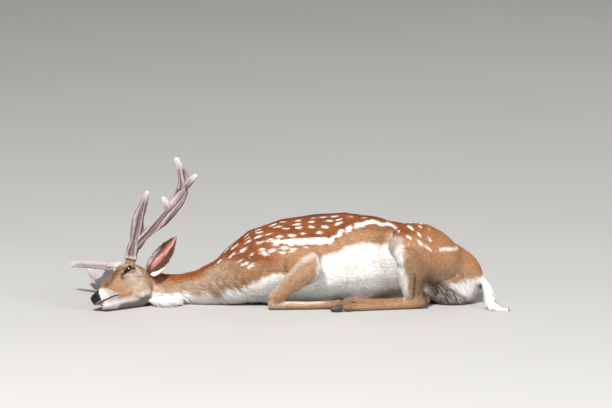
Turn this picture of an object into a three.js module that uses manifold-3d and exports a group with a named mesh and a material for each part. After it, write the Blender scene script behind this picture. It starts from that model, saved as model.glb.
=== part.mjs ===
// A fallow buck at life size, resting with its neck stretched out and its chin on the ground.
// Millimetres, +Z up. The head points along -X and the animal's left side faces -Y. Each limb, ear, eye,
// hoof and antler branch is a closed solid of its own, and neighbours keep a thin gap where they meet.
import * as THREE from "three";
import { ParametricGeometry } from "three/addons/geometries/ParametricGeometry.js";
import { mergeVertices } from "three/addons/utils/BufferGeometryUtils.js";
import Module from "manifold-3d";

const wasm = await Module();
wasm.setup();

// ---- driving dimensions ----
const GAP = 0.35; // clearance between two solids that meet
const HEAD_AT = [-716, -44, 102]; // the middle of the skull, a little under the eyes
const HEAD_YAW = -140.2; // degrees, turns the nose from +X to its heading
const HEAD_PITCH = -0.6; // nose up a little
const HEAD_ROLL = 33.5; // left cheek up
const EYE_AT = [-8, 45, 19]; // the left eye in the head's own frame
const EYE_RADIUS = 18.5;
const EAR_LENGTH = 186;
const HOOF_SPREAD = 10; // each claw's distance from the middle of the foot

// ---- finishes ----
const finish = (color, roughness) => new THREE.MeshStandardMaterial({ color, roughness, metalness: 0 });
const FINISHES = {
  coat: finish(0xa8703f, 0.85),
  face: finish(0xa98a6c, 0.85),
  white: finish(0xf1ede6, 0.85),
  velvet: finish(0xb39a8c, 0.8),
  horn: finish(0x2c2a2b, 0.45),
  eye: finish(0x120c0a, 0.1),
};

// ---- solids ----
const toSolid = (geometry) => {
  geometry.deleteAttribute("normal");
  geometry.deleteAttribute("uv");
  const merged = mergeVertices(geometry, 1e-3);
  const corners = merged.index.array;
  const triVerts = [];
  for (let i = 0; i < corners.length; i += 3) {
    const [a, b, c] = [corners[i], corners[i + 1], corners[i + 2]];
    if (a !== b && b !== c && c !== a) triVerts.push(a, b, c);
  }
  const vertProperties = merged.attributes.position.array;
  const closed = () =>
    new wasm.Manifold(new wasm.Mesh({ numProp: 3, vertProperties, triVerts: new Uint32Array(triVerts) }));
  const solid = closed();
  if (solid.volume() > 0) return solid;
  for (let i = 0; i < triVerts.length; i += 3) {
    [triVerts[i], triVerts[i + 1]] = [triVerts[i + 1], triVerts[i]];
  }
  return closed();
};

const toMesh = (name, solid, material) => {
  const { vertProperties, triVerts } = solid.getMesh();
  const geometry = new THREE.BufferGeometry();
  geometry.setAttribute("position", new THREE.BufferAttribute(new Float32Array(vertProperties), 3));
  geometry.setIndex(new THREE.BufferAttribute(new Uint32Array(triVerts), 1));
  geometry.computeVertexNormals();
  const mesh = new THREE.Mesh(geometry, material);
  mesh.name = name;
  return mesh;
};

const join = (solids) => solids.reduce((whole, solid) => whole.add(solid));
const largest = (solid) => solid.decompose().sort((a, b) => b.volume() - a.volume())[0];

// A rounded limb swept through stations [x, y, z, side, above, below, roll]: the middle of each section,
// its half sizes across, above and below that middle, and its turn about the limb in degrees.
const limb = (stations, { rows = 8, columns = 9, square = 2, up = [0, 0, 1] } = {}) => (grow) => {
  const path = new THREE.CatmullRomCurve3(stations.map(([x, y, z]) => new THREE.Vector3(x, y, z)));
  const sizes = new THREE.CatmullRomCurve3(stations.map((s) => new THREE.Vector3(s[3], s[4], s[5])));
  const rolls = new THREE.CatmullRomCurve3(stations.map((s) => new THREE.Vector3(s[6] ?? 0, 0, 0)));
  const reach = path.getLength();
  const surface = (u, v, target) => {
    const t = (1 - Math.cos(Math.PI * v)) / 2;
    const middle = path.getPoint(t);
    const along = path.getTangent(t);
    const size = sizes.getPoint(t);
    const nearEnd = Math.min(t, 1 - t);
    const capLength = Math.min(0.3, (0.8 * size.x) / reach);
    const rounding = nearEnd < capLength ? Math.sqrt(Math.max(0, 1 - (1 - nearEnd / capLength) ** 2)) : 1;
    const above = new THREE.Vector3(...up);
    above.addScaledVector(along, -along.dot(above)).normalize();
    above.applyAxisAngle(along, THREE.MathUtils.degToRad(rolls.getPoint(t).x));
    const across = new THREE.Vector3().crossVectors(above, along);
    const angle = 2 * Math.PI * u;
    const curve = (value) => Math.sign(value) * Math.abs(value) ** (2 / square);
    const high = Math.sin(angle) > 0 ? size.y : size.z;
    const sideways = rounding * (size.x + grow) * curve(Math.cos(angle));
    const upwards = rounding * (high + grow) * curve(Math.sin(angle));
    const ends = t < 0.5 ? -grow : grow;
    target.copy(middle).addScaledVector(across, sideways).addScaledVector(above, upwards);
    if (grow > 0 && nearEnd < capLength) target.addScaledVector(along, ends * (1 - rounding));
  };
  return toSolid(new ParametricGeometry(surface, columns, rows));
};

const ball = ([x, y, z], [rx, ry, rz], columns = 12) => (grow) => {
  const geometry = new THREE.SphereGeometry(1, columns, Math.round(columns / 2) + 2);
  geometry.scale(rx + grow, ry + grow, rz + grow);
  return toSolid(geometry.translate(x, y, z));
};

// Several shapes that make one solid.
const together = (...shapes) => (grow) => join(shapes.map((shape) => shape(grow)));

// ---- the head's own frame: +X to the nose, +Y to the left ear, +Z to the crown ----
const headFrame = new THREE.Matrix4()
  .makeTranslation(...HEAD_AT)
  .multiply(new THREE.Matrix4().makeRotationZ(THREE.MathUtils.degToRad(HEAD_YAW)))
  .multiply(new THREE.Matrix4().makeRotationY(THREE.MathUtils.degToRad(HEAD_PITCH)))
  .multiply(new THREE.Matrix4().makeRotationX(THREE.MathUtils.degToRad(HEAD_ROLL)));
const onHead = (shape) => (grow) => shape(grow).transform(headFrame.elements);
const mirrored = (stations, side) => stations.map(([x, y, ...rest]) => [x, y * side, ...rest]);
const bothSides = (make) => [make(1), make(-1)];

// ---- head ----
const SKULL = [
  [-118, 0, 0, 36, 44, 44],
  [-86, 0, -6, 50, 62, 70],
  [-44, 0, -16, 56, 74, 82],
  [0, 0, -22, 55, 74, 80],
  [46, 0, -32, 45, 62, 70],
  [90, 0, -44, 35, 45, 52],
  [132, 0, -56, 30, 31, 40],
  [160, 0, -61, 28, 24, 26],
  [176, 0, -63, 25, 20, 22],
];
const JAW = [
  [-80, 0, -68, 38, 36, 50],
  [-28, 0, -84, 36, 28, 36],
  [44, 0, -94, 27, 18, 23],
  [106, 0, -98, 21, 15, 17],
  [148, 0, -95, 19, 11, 15],
];
const PEDICLE = [
  [-32, 24, 36, 28, 30, 28],
  [-39, 45, 72, 19, 19, 19],
];
const headShape = together(
  limb(SKULL, { rows: 12, columns: 13, square: 2.5 }),
  ...bothSides((side) => ball([-38, side * 39, -62], [50, 20, 46], 7)),
  ...bothSides((side) => ball([-6, side * 41, 36], [34, 18, 15], 6)),
  ...bothSides((side) => ball([0, side * 46, -6], [38, 13, 13], 6)),
  ...bothSides((side) => limb(mirrored(PEDICLE, side), { rows: 3, columns: 7 })),
);
const jawShape = limb(JAW, { rows: 7, columns: 9, square: 2.2 });
const eyeShape = (side) =>
  ball([EYE_AT[0], side * EYE_AT[1], EYE_AT[2]], [EYE_RADIUS, EYE_RADIUS, EYE_RADIUS], 10);

// An ear is a leaf rolled into a cup: its section is a crescent that narrows to a stalk and to the tip.
const EAR_ROOT = new THREE.Vector3(-97, 46, -10);
const EAR_AXIS = new THREE.Vector3(-0.516, 0.672, 0.531);
const EAR_OPENING = new THREE.Vector3(0.7, 0.62, -0.3);
const EAR_WALL = 6;
const EAR_HALF_WIDTH = 37;
const EAR_STALK = 16; // half width added near the root
const EAR_ROLL = [2.6, 1.35]; // half the turn of the crescent, at the root and at the tip, in radians
const earShape = (side) => (grow) => {
  const axis = EAR_AXIS.clone().normalize();
  const facing = EAR_OPENING.clone().addScaledVector(axis, -EAR_OPENING.dot(axis)).normalize();
  const across = new THREE.Vector3().crossVectors(axis, facing);
  const surface = (u, v, target) => {
    const t = (1 - Math.cos(Math.PI * v)) / 2;
    const shut = v <= 0 || v >= 1 ? 0 : 1;
    const leaf = Math.sin(Math.PI * t ** 0.85) ** 0.8;
    const width = EAR_HALF_WIDTH * leaf + EAR_STALK * Math.max(0, 1 - 3 * t) ** 0.5;
    const wrap = THREE.MathUtils.lerp(...EAR_ROLL, Math.min(1, t * 1.7));
    const radius = width / Math.sin(Math.min(wrap, Math.PI / 2));
    const angle = (wrap + grow / (radius + 1)) * Math.cos(2 * Math.PI * u);
    const depth = radius - (EAR_WALL / 2 + grow) * Math.sin(2 * Math.PI * u);
    target.copy(EAR_ROOT).addScaledVector(axis, t * (EAR_LENGTH + grow));
    target.addScaledVector(across, shut * depth * Math.sin(angle));
    target.addScaledVector(facing, shut * (0.5 * radius - depth * Math.cos(angle)));
    target.y *= side;
  };
  return toSolid(new ParametricGeometry(surface, 10, 9));
};

// ---- antlers, in the head's frame ----
// Each station's first half size is across the flat of the antler, the others are through its thickness.
const tine = (stations, options) => limb(stations, { rows: 7, columns: 8, up: [0.6, 0.6, -0.5], ...options });
const ANTLER_LEFT = {
  base: tine([
    [-42, 32, 46, 19, 18, 18],
    [-39, 47, 74, 21, 19, 19],
    [-47, 68, 98, 24, 18, 18],
    [-62, 98, 128, 27, 16, 16],
  ], { rows: 5 }),
  beam: tine([
    [-50, 70, 96, 20, 14, 14],
    [-89, 126, 133, 19, 14, 14],
    [-128, 162, 147, 20, 14, 14],
    [-163, 194, 167, 23, 14, 14],
    [-196, 227, 194, 26, 14, 14],
    [-236, 270, 250, 26, 12, 12],
  ], { rows: 8 }),
  top: tine([
    [-206, 240, 208, 24, 12, 12],
    [-241, 274, 268, 24, 12, 12],
    [-240, 284, 308, 18, 11, 11],
    [-223, 301, 368, 9, 7, 7],
  ]),
  brow: tine([
    [-52, 72, 100, 22, 14, 14],
    [-62, 118, 158, 25, 15, 15],
    [-62, 146, 194, 22, 14, 14],
    [-80, 184, 232, 15, 12, 12],
    [-87, 233, 270, 7, 6, 6],
  ], { rows: 8 }),
  trez: tine([
    [-176, 209, 180, 18, 11, 11],
    [-164, 217, 210, 15, 10, 10],
    [-151, 226, 239, 7, 6, 6],
  ], { rows: 5 }),
  back: tine([
    [-232, 264, 248, 18, 11, 11],
    [-254, 296, 262, 14, 9, 9],
    [-272, 328, 273, 7, 6, 6],
  ], { rows: 5 }),
};
const ANTLER_RIGHT = {
  base: tine([
    [-42, -32, 46, 19, 18, 18],
    [-39, -48, 72, 21, 19, 19],
    [-40, -72, 86, 23, 18, 18],
    [-46, -106, 96, 25, 16, 16],
  ], { rows: 5 }),
  beam: tine([
    [-42, -76, 86, 22, 14, 14],
    [-66, -150, 88, 19, 14, 14],
    [-90, -212, 88, 20, 14, 14],
    [-110, -274, 106, 23, 12, 12],
  ]),
  top: tine([
    [-97, -240, 92, 22, 12, 12],
    [-128, -300, 126, 24, 12, 12],
    [-148, -336, 166, 17, 11, 11],
    [-165, -371, 212, 9, 7, 7],
  ]),
  brow: tine([
    [-41, -76, 88, 20, 13, 13],
    [-34, -140, 130, 17, 12, 12],
    [-20, -200, 162, 15, 11, 11],
    [-11, -282, 200, 8, 7, 7],
  ]),
  back: tine([
    [-110, -268, 102, 18, 11, 11],
    [-142, -300, 102, 14, 9, 9],
    [-172, -330, 110, 7, 6, 6],
  ], { rows: 5 }),
};

// ---- neck and trunk, one sweep from the poll to the root of the tail ----
const SPINE = [
  [-648, 36, 92, 40, 44, 48, -28],
  [-590, 32, 72, 50, 52, 60, -18],
  [-530, 22, 60, 56, 56, 62, -6],
  [-430, 12, 65, 63, 66, 68, 0],
  [-360, 10, 84, 78, 80, 88, -4],
  [-290, 6, 108, 96, 98, 112, -12],
  [-212, 14, 144, 118, 140, 149, -21],
  [-86, 38, 163, 137, 172, 174, -30],
  [60, 55, 172, 150, 185, 184, -38],
  [180, 60, 178, 165, 180, 182, -45],
  [300, 70, 163, 158, 168, 169, -50],
  [400, 72, 150, 138, 152, 152, -52],
  [500, 64, 133, 124, 138, 138, -50],
  [590, 54, 113, 106, 112, 112, -50],
  [650, 46, 102, 78, 84, 84, -50],
  [692, 40, 96, 48, 52, 52, -50],
];
const NECK_ENDS = -222;
const CHEST_ENDS = 92;
const BELLY_ENDS = 335;
const spineShape = limb(SPINE, { rows: 27, columns: 15, square: 2.1 });
const slice = (from, to) => (grow) =>
  spineShape(grow)
    .trimByPlane([1, 0, 0], from + GAP / 2 - grow)
    .trimByPlane([-1, 0, 0], -to + GAP / 2 - grow);
const throatShape = ball([-556, -34, 20], [74, 62, 30], 8);
const buttockShape = ball([560, 4, 62], [108, 66, 67], 8);
const tailShape = limb([
  [668, 30, 112, 20, 20, 20],
  [694, 10, 106, 20, 20, 20],
  [702, -48, 72, 24, 20, 20],
  [712, -95, 43, 24, 19, 20],
  [732, -130, 22, 19, 16, 20],
  [765, -155, 9, 12, 10, 12],
  [797, -170, 5, 5, 5, 7],
], { rows: 8, columns: 8 });

// ---- legs ----
const shoulderLeft = limb([
  [-22, 4, 246, 28, 46, 46],
  [-56, -60, 208, 38, 78, 56],
  [0, -94, 190, 41, 82, 58],
  [54, -124, 186, 36, 54, 50],
], { up: [-1, 0, -0.3] });
const forearmLeft = limb([
  [60, -128, 188, 30, 50, 42],
  [30, -136, 178, 37, 58, 62],
  [-48, -140, 112, 32, 46, 46],
  [-108, -134, 60, 26, 32, 32],
  [-142, -131, 31, 23, 27, 30],
]);
const cannonForeLeft = limb([
  [-152, -131, 26, 22, 24, 26],
  [-120, -130, 22, 19, 21, 22],
  [-40, -128, 17, 15, 17, 17],
  [60, -120, 18, 15, 17, 18],
  [134, -111, 20, 17, 19, 21],
], { rows: 7, columns: 8 });
const shoulderRight = limb([
  [-22, 150, 214, 28, 46, 46],
  [-50, 172, 150, 38, 82, 52],
  [-10, 182, 96, 41, 80, 52],
  [34, 188, 60, 36, 54, 50],
], { up: [-1, 0, -0.3] });
const forearmRight = limb([
  [50, 190, 56, 34, 44, 50],
  [10, 192, 49, 36, 44, 47],
  [-80, 192, 39, 30, 36, 39],
  [-150, 188, 29, 26, 28, 30],
  [-180, 182, 27, 23, 25, 26],
]);
const cannonForeRight = limb([
  [-184, 176, 24, 22, 22, 24],
  [-150, 158, 19, 18, 18, 20],
  [-60, 142, 16, 15, 15, 17],
  [60, 138, 16, 15, 15, 17],
  [138, 136, 18, 17, 17, 20],
], { rows: 7, columns: 8 });
const thighLeft = together(
  limb([
    [590, 24, 150, 76, 70, 74],
    [540, -6, 172, 86, 102, 96],
    [474, -42, 204, 84, 108, 108],
    [410, -104, 228, 66, 82, 84],
    [372, -146, 250, 50, 56, 58],
  ], { rows: 8, columns: 11 }),
  limb([
    [540, 30, 178, 72, 92, 84],
    [480, 4, 230, 88, 88, 96],
    [416, -26, 257, 86, 86, 86],
    [384, -92, 258, 68, 68, 76],
    [370, -146, 252, 46, 50, 56],
  ], { rows: 7, columns: 9 }),
);
const shankLeft = together(
  limb([
    [372, -152, 258, 46, 46, 48],
    [398, -150, 200, 40, 56, 50],
    [420, -132, 130, 30, 42, 34],
    [436, -113, 74, 24, 30, 26],
    [446, -108, 40, 22, 26, 26],
  ], { up: [1, 0, 0], rows: 7, columns: 8 }),
  limb([
    [378, -146, 205, 36, 34, 30],
    [384, -140, 142, 29, 30, 28],
    [394, -126, 84, 23, 26, 25],
    [402, -117, 42, 19, 20, 21],
  ], { up: [1, 0, 0], rows: 6, columns: 8 }),
);
const cannonHindLeft = limb([
  [470, -106, 42, 22, 22, 26],
  [438, -108, 31, 22, 26, 31],
  [380, -118, 24, 18, 20, 25],
  [280, -138, 18, 16, 17, 19],
  [168, -162, 17, 18, 18, 19],
], { rows: 7, columns: 8 });
const thighRight = limb([
  [580, 110, 92, 76, 70, 78],
  [500, 136, 88, 96, 92, 92],
  [420, 150, 78, 86, 82, 82],
  [336, 150, 58, 52, 56, 60],
]);
const shankRight = limb([
  [332, 148, 60, 48, 50, 56],
  [376, 96, 48, 42, 44, 46],
  [424, 14, 40, 30, 34, 34],
  [456, -38, 38, 24, 30, 30],
  [468, -54, 42, 22, 30, 30],
]);
const cannonHindRight = limb([
  [484, -58, 44, 20, 22, 26],
  [450, -57, 28, 21, 24, 28],
  [380, -56, 20, 17, 18, 21],
  [280, -54, 17, 15, 16, 18],
  [172, -52, 19, 17, 17, 20],
], { rows: 7, columns: 8 });

// A foot runs from the fetlock along the pastern, with two claws side by side and two dewclaws behind.
const foot = (fetlock, toe, flip = 1) => {
  const ahead = new THREE.Vector3(...toe).sub(new THREE.Vector3(...fetlock));
  const aside = new THREE.Vector3(-ahead.y, ahead.x, 0).normalize();
  const at = (share, sideways, lift) =>
    new THREE.Vector3(...fetlock).addScaledVector(ahead, share).addScaledVector(aside, sideways)
      .add(new THREE.Vector3(0, 0, lift)).toArray();
  const claw = (side) => limb([
    [...at(0.44, side * HOOF_SPREAD, 3), 9, 12, 13],
    [...at(0.62, side * HOOF_SPREAD, 0), 10, 14, 14],
    [...at(0.84, side * (HOOF_SPREAD - 0.5), -1), 9, 10, 11],
    [...at(1, side * (HOOF_SPREAD - 3), -1), 4, 4, 6],
  ], { rows: 4, columns: 6, square: 2.4 });
  const dewclaw = (side) => limb([
    [...at(0.12, side * 11, -4 * flip - 6), 6, 6, 6],
    [...at(0.3, side * 14, -8 * flip - 6), 3, 4, 4],
  ], { rows: 3, columns: 5 });
  return {
    foot: limb([
      [...at(-0.12, 0, 2), 18, 19, 20],
      [...at(0.04, 0, 0), 20, 21, 21],
      [...at(0.26, 0, 0), 17, 16, 17],
      [...at(0.5, 0, 1), 20, 15, 15],
    ], { rows: 6, columns: 8 }),
    claws: [claw(1), claw(-1)],
    dewclaws: [dewclaw(1), dewclaw(-1)],
  };
};
const FEET = {
  fore_left: foot([122, -112, 21], [222, -100, 10]),
  fore_right: foot([126, 136, 20], [228, 140, 10]),
  hind_left: foot([180, -161, 20], [94, -176, 10]),
  hind_right: foot([186, -52, 20], [92, -58, 10]),
};

// ---- every part, named. A solid is cut back where it meets one listed before it ----
const parts = [];
const add = (name, shape, material) => parts.push({ name, shape, material });
for (const [leg, { foot: pastern, claws, dewclaws }] of Object.entries(FEET)) {
  add(`foot_${leg}`, pastern, FINISHES.coat);
  claws.forEach((shape, i) => add(`hoof_${leg}_${i + 1}`, shape, FINISHES.horn));
  dewclaws.forEach((shape, i) => add(`dewclaw_${leg}_${i + 1}`, shape, FINISHES.horn));
}
add("cannon_fore_left", cannonForeLeft, FINISHES.coat);
add("cannon_fore_right", cannonForeRight, FINISHES.coat);
add("cannon_hind_left", cannonHindLeft, FINISHES.coat);
add("cannon_hind_right", cannonHindRight, FINISHES.coat);
add("forearm_left", forearmLeft, FINISHES.coat);
add("forearm_right", forearmRight, FINISHES.coat);
add("shank_left", shankLeft, FINISHES.coat);
add("shank_right", shankRight, FINISHES.coat);
add("eye_left", onHead(eyeShape(1)), FINISHES.eye);
add("eye_right", onHead(eyeShape(-1)), FINISHES.eye);
add("head", onHead(headShape), FINISHES.face);
add("jaw", onHead(jawShape), FINISHES.white);
add("ear_left", onHead(earShape(1)), FINISHES.face);
add("ear_right", onHead(earShape(-1)), FINISHES.face);
for (const [side, branches] of Object.entries({ left: ANTLER_LEFT, right: ANTLER_RIGHT })) {
  for (const [branch, shape] of Object.entries(branches)) {
    add(`antler_${side}_${branch}`, onHead(shape), FINISHES.velvet);
  }
}
add("neck", together(slice(-900, NECK_ENDS), throatShape), FINISHES.coat);
add("chest", slice(NECK_ENDS, CHEST_ENDS), FINISHES.coat);
add("belly", slice(CHEST_ENDS, BELLY_ENDS), FINISHES.coat);
add("rump", together(slice(BELLY_ENDS, 900), buttockShape), FINISHES.coat);
add("shoulder_left", shoulderLeft, FINISHES.coat);
add("shoulder_right", shoulderRight, FINISHES.coat);
add("thigh_left", thighLeft, FINISHES.coat);
add("thigh_right", thighRight, FINISHES.coat);
add("tail", tailShape, FINISHES.white);

const group = new THREE.Group();
group.name = "fallow_deer";
const placed = [];
for (const { name, shape, material } of parts) {
  let solid = shape(0).trimByPlane([0, 0, 1], 0);
  for (const other of placed) solid = solid.subtract(other);
  placed.push(shape(GAP));
  group.add(toMesh(name, largest(solid), material));
}
const box = new THREE.Box3().setFromObject(group);
const centre = box.getCenter(new THREE.Vector3());
group.children.forEach((mesh) => mesh.geometry.translate(-centre.x, -centre.y, -box.min.z));

export default group;
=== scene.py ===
"""A resting fallow buck: one skin, its coat, antlers in velvet, eyes and hooves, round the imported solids."""
import math

import bmesh
import bpy
import numpy as np
from mathutils import Matrix, Vector
from mathutils.bvhtree import BVHTree


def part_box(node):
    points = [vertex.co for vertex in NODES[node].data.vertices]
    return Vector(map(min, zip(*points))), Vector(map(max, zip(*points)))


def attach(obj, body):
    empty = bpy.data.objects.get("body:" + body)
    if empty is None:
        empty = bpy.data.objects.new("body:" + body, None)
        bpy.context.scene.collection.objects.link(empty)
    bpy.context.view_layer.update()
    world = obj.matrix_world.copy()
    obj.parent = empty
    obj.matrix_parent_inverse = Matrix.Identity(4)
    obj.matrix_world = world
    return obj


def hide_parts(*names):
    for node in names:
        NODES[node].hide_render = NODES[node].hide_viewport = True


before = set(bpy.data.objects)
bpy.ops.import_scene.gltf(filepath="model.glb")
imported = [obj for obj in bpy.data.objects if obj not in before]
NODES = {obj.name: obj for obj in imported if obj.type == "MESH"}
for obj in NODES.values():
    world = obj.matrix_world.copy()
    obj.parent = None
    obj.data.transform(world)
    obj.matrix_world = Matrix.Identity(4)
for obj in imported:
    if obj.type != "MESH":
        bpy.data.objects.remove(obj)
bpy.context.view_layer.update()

SCENE = bpy.context.scene
MM = 0.001
RANDOM = np.random.default_rng(19)

# ---- sizes, in metres ----
SKIN_VOXEL = 0.0028  # the skin's first even mesh
OVERLAP = 0.0012  # how far solids are grown so that neighbours fuse
WELD = 1e-5  # points nearer than this are one
HORN_VOXEL = 0.0026
HOOF_VOXEL = 0.0018
EYE_RADIUS = 0.0178
EAR_LENGTH, EAR_HALF = 0.186, 40  # the ear's length in metres and half width in millimetres
EAR_OPENING = (0.7, 0.62, -0.3)
LID_LENGTH, LID_UP, LID_DOWN = 19, 7.8, 6.2  # half the opening of the lids, in millimetres
# Lines on the face, forward and up in the head's frame, in millimetres.
MOUTH = [(190, -103), (168, -103), (140, -98), (118, -93), (100, -90), (84, -90)]
TEAR = [(15, -4), (28, -8), (40, -13), (47, -21), (48, -31)]  # the groove below the inner corner of the eye
SMUDGE = [(38, 14), (60, 0), (84, -18), (104, -33), (122, -44)]  # the dark streak along the bridge
NOSTRIL = (184, 15, -78)
LID = 0.0022  # the thickness of the lids
EYE_REACH = 34  # how far from an eye's middle its lids are shaped, in millimetres
SKIN_REST = 0.0012  # the skin's lowest place over the floor
SMOOTH_ROUNDS = 90
SEAT_ROUNDS = 160  # more smoothing where the thigh runs into the rump
BODY_SHARE = 0.23  # how much of the trunk's and legs' triangles is kept
SPINE_STEP = 0.02
SPINE_ROUNDS = 3
MEETING_REACH = 0.008
KIND_ROUNDS = 6
FLOW_ROUNDS = 8
CM2 = 10000  # square centimetres in a square metre
DENSITY = 0.9  # of the tufts that BUILD asks for
LONG_SHARE = 0.6  # of them that are long where the hair hangs
ROOT_SINK = 0.04  # of a tuft's length
TUFT_RIDGE = 0.5  # its height over its half width
# Along a tuft, for one ring and for two: places from root to tip, and the width there.
TUFT_STOPS = {1: [(0.0, 0.0), (0.36, 1.0), (1.0, 0.0)],
              2: [(0.0, 0.0), (0.24, 1.0), (0.62, 0.75), (1.0, 0.0)]}
TUFT_STRAY, TUFT_CURL, TUFT_TONES = 0.16, 0.1, 0.17  # spread of the way, bend and lightness of tufts
TUFT_DARK, TUFT_LIGHT = 0.86, 0.18  # lightness at the root, and how much more at the tip
TUFT_ROUND = 1.15  # how far a tuft's shading turns from the skin's at its sides
SHAG_DROOP = 0.35
REST_GAP = 0.0002
VELVET_RELIEF, PEARL_RELIEF, BURR_RELIEF = 0.0011, 0.0006, 0.0055
CORNEA = 0.0006  # how far the clear front of the eye stands out
PATCH = 0.003  # a tuft's patch on the OFBake map
# Rows of spots: how far down from the back, and from where to where along the body.
FLANK_ROWS = [(0.036, -0.26, 0.3), (0.062, -0.3, 0.24), (0.09, -0.24, 0.2), (0.116, -0.2, 0.12),
              (0.158, -0.22, 0.06), (0.178, -0.19, 0.07), (0.196, -0.16, 0.02)]
# The height of the edge of the white under the body, from the throat to the rump: along and height.
WHITE_EDGE = [(-0.6, 0.025), (-0.47, 0.05), (-0.35, 0.056), (-0.29, 0.045), (-0.18, 0.088), (-0.13, 0.11),
              (-0.06, 0.138), (0.06, 0.155), (0.12, 0.2), (0.22, 0.245), (0.3, 0.255), (0.42, 0.25),
              (0.5, 0.08), (0.64, 0.102), (0.78, 0.112)]
NOSE_DROP = math.radians(24)  # from the head's own forward axis down to the tip of the nose

# For each kind of solid: the coat's depth over the skin, how far facets are smoothed, and its tufts:
# length, width, rise of the tip as a share of the length, and how many on a square centimetre.
BUILD = {
    "head": (0.0022, 0.05, 0.0068, 0.0013, 0.2, 34), "jaw": (0.0026, 0.06, 0.008, 0.0014, 0.2, 34),
    "ear": (0.0008, 0.02, 0.0046, 0.0012, 0.06, 30), "neck": (0.0055, 0.7, 0.019, 0.0021, 0.2, 15),
    "chest": (0.005, 0.9, 0.017, 0.002, 0.19, 12.6), "belly": (0.005, 0.9, 0.017, 0.002, 0.19, 13.2),
    "rump": (0.005, 0.8, 0.018, 0.0021, 0.2, 14), "tail": (0.009, 0.2, 0.026, 0.0024, 0.24, 50),
    "shoulder": (0.0048, 0.6, 0.015, 0.0019, 0.19, 17), "thigh": (0.0048, 0.6, 0.015, 0.0019, 0.19, 16),
    "forearm": (0.0036, 0.2, 0.012, 0.0017, 0.18, 24), "shank": (0.0036, 0.2, 0.012, 0.0017, 0.18, 24),
    "cannon": (0.0024, 0.06, 0.009, 0.0015, 0.17, 30), "foot": (0.0022, 0.04, 0.0075, 0.0014, 0.18, 34),
}
DEPTH, SMOOTHING, LENGTH, WIDTH, RISE, COUNT = range(6)  # the columns of BUILD
KINDS = list(BUILD)
HEAD_KINDS = ("head", "jaw", "ear")
FLESH = sorted(name for name in NODES if name.split("_")[0] in BUILD)


# ---- small mesh tools ----
def read(items, field, size, kind=np.float32):
    """One field of each of a mesh's items, a row for each item."""
    flat = np.empty(len(items) * size, kind)
    items.foreach_get(field, flat)
    return flat.reshape(-1, size)


def points_of(mesh):
    return read(mesh.vertices, "co", 3).astype(float)


def normals_of(mesh):
    return read(mesh.vertices, "normal", 3).astype(float)


def edges_of(mesh):
    return read(mesh.edges, "vertices", 2, np.int32)


def set_points(mesh, points):
    mesh.vertices.foreach_set("co", points.astype(np.float32).ravel())
    mesh.update()


def unit(vectors):
    return vectors / np.maximum(np.linalg.norm(vectors, axis=-1, keepdims=True), 1e-9)


def spread(values, edges, rounds, share=0.5):
    """Evens values out along a mesh's edges."""
    first, second = edges.T
    count = np.bincount(edges.ravel(), minlength=len(values)).astype(float)
    count = np.maximum(count, 1)
    flat = values.reshape(len(values), -1).astype(float)
    for _ in range(rounds):
        total = np.empty_like(flat)
        for k in range(flat.shape[1]):
            total[:, k] = np.bincount(first, flat[second, k], len(flat)) + np.bincount(
                second, flat[first, k], len(flat))
        flat = flat * (1 - share) + share * total / count[:, None]
    return flat.reshape(values.shape)


def ramp(value, start, end):
    """0 before start and 1 after end, with a smooth rise between."""
    t = np.clip((value - start) / (end - start), 0, 1)
    return t * t * (3 - 2 * t)


def fall(value, start, end):
    """1 before start and 0 after end."""
    return 1 - ramp(value, start, end)


def hump(*parts):
    """1 where each value is at its middle, and less away from it: value, middle and width."""
    return np.exp(-sum(((value - centre) / width) ** 2 for value, centre, width in parts))


def new_object(name, content):
    made = bpy.data.objects.new(name, content)
    SCENE.collection.objects.link(made)
    return made


def as_mesh(name, whole):
    """The mesh made from a bmesh, which is freed."""
    mesh = bpy.data.meshes.new(name)
    whole.to_mesh(mesh)
    whole.free()
    return mesh


def fused(names, voxel, grow=OVERLAP, smooth=0, others=()):
    """One closed even mesh round copies of the named solids and any others."""
    whole = bmesh.new()
    for mesh in [NODES[name].data for name in names] + list(others):
        solid = bmesh.new()
        solid.from_mesh(mesh)
        bmesh.ops.remove_doubles(solid, verts=solid.verts, dist=WELD)
        solid.normal_update()
        for vert in solid.verts:
            vert.co += vert.normal * grow
        grown = as_mesh("grown", solid)
        whole.from_mesh(grown)
        bpy.data.meshes.remove(grown)
    body = new_object("joined", as_mesh("joined", whole))
    remesh = body.modifiers.new("even", "REMESH")
    remesh.mode = "VOXEL"
    remesh.voxel_size = voxel
    if smooth:
        body.modifiers.new("soft", "SMOOTH").iterations = smooth
    return finished(body)


def finished(body):
    """The mesh of an object with its modifiers applied, and the object removed."""
    ready = body.evaluated_get(bpy.context.evaluated_depsgraph_get())
    mesh = bpy.data.meshes.new_from_object(ready)
    old = body.data
    bpy.data.objects.remove(body)
    bpy.data.meshes.remove(old)
    return mesh


def largest_shell(mesh):
    """Drops the small closed bubbles that a fused mesh can hold inside."""
    edges = edges_of(mesh)
    label = np.arange(len(mesh.vertices))
    while True:
        low = label.copy()
        np.minimum.at(low, edges[:, 0], label[edges[:, 1]])
        np.minimum.at(low, edges[:, 1], label[edges[:, 0]])
        low = low[low]
        low = low[low]
        if (low == label).all():
            break
        label = low
    main = np.bincount(label).argmax()
    bm = bmesh.new()
    bm.from_mesh(mesh)
    bm.verts.ensure_lookup_table()
    stray = [bm.verts[int(i)] for i in np.flatnonzero(label != main)]
    bmesh.ops.delete(bm, geom=stray, context="VERTS")
    bm.to_mesh(mesh)
    bm.free()
    return mesh


# ---- the head's own frame, from the eyes and the tip of the nose ----
def middle(node):
    low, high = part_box(node)
    return np.array((low + high) / 2)


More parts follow.
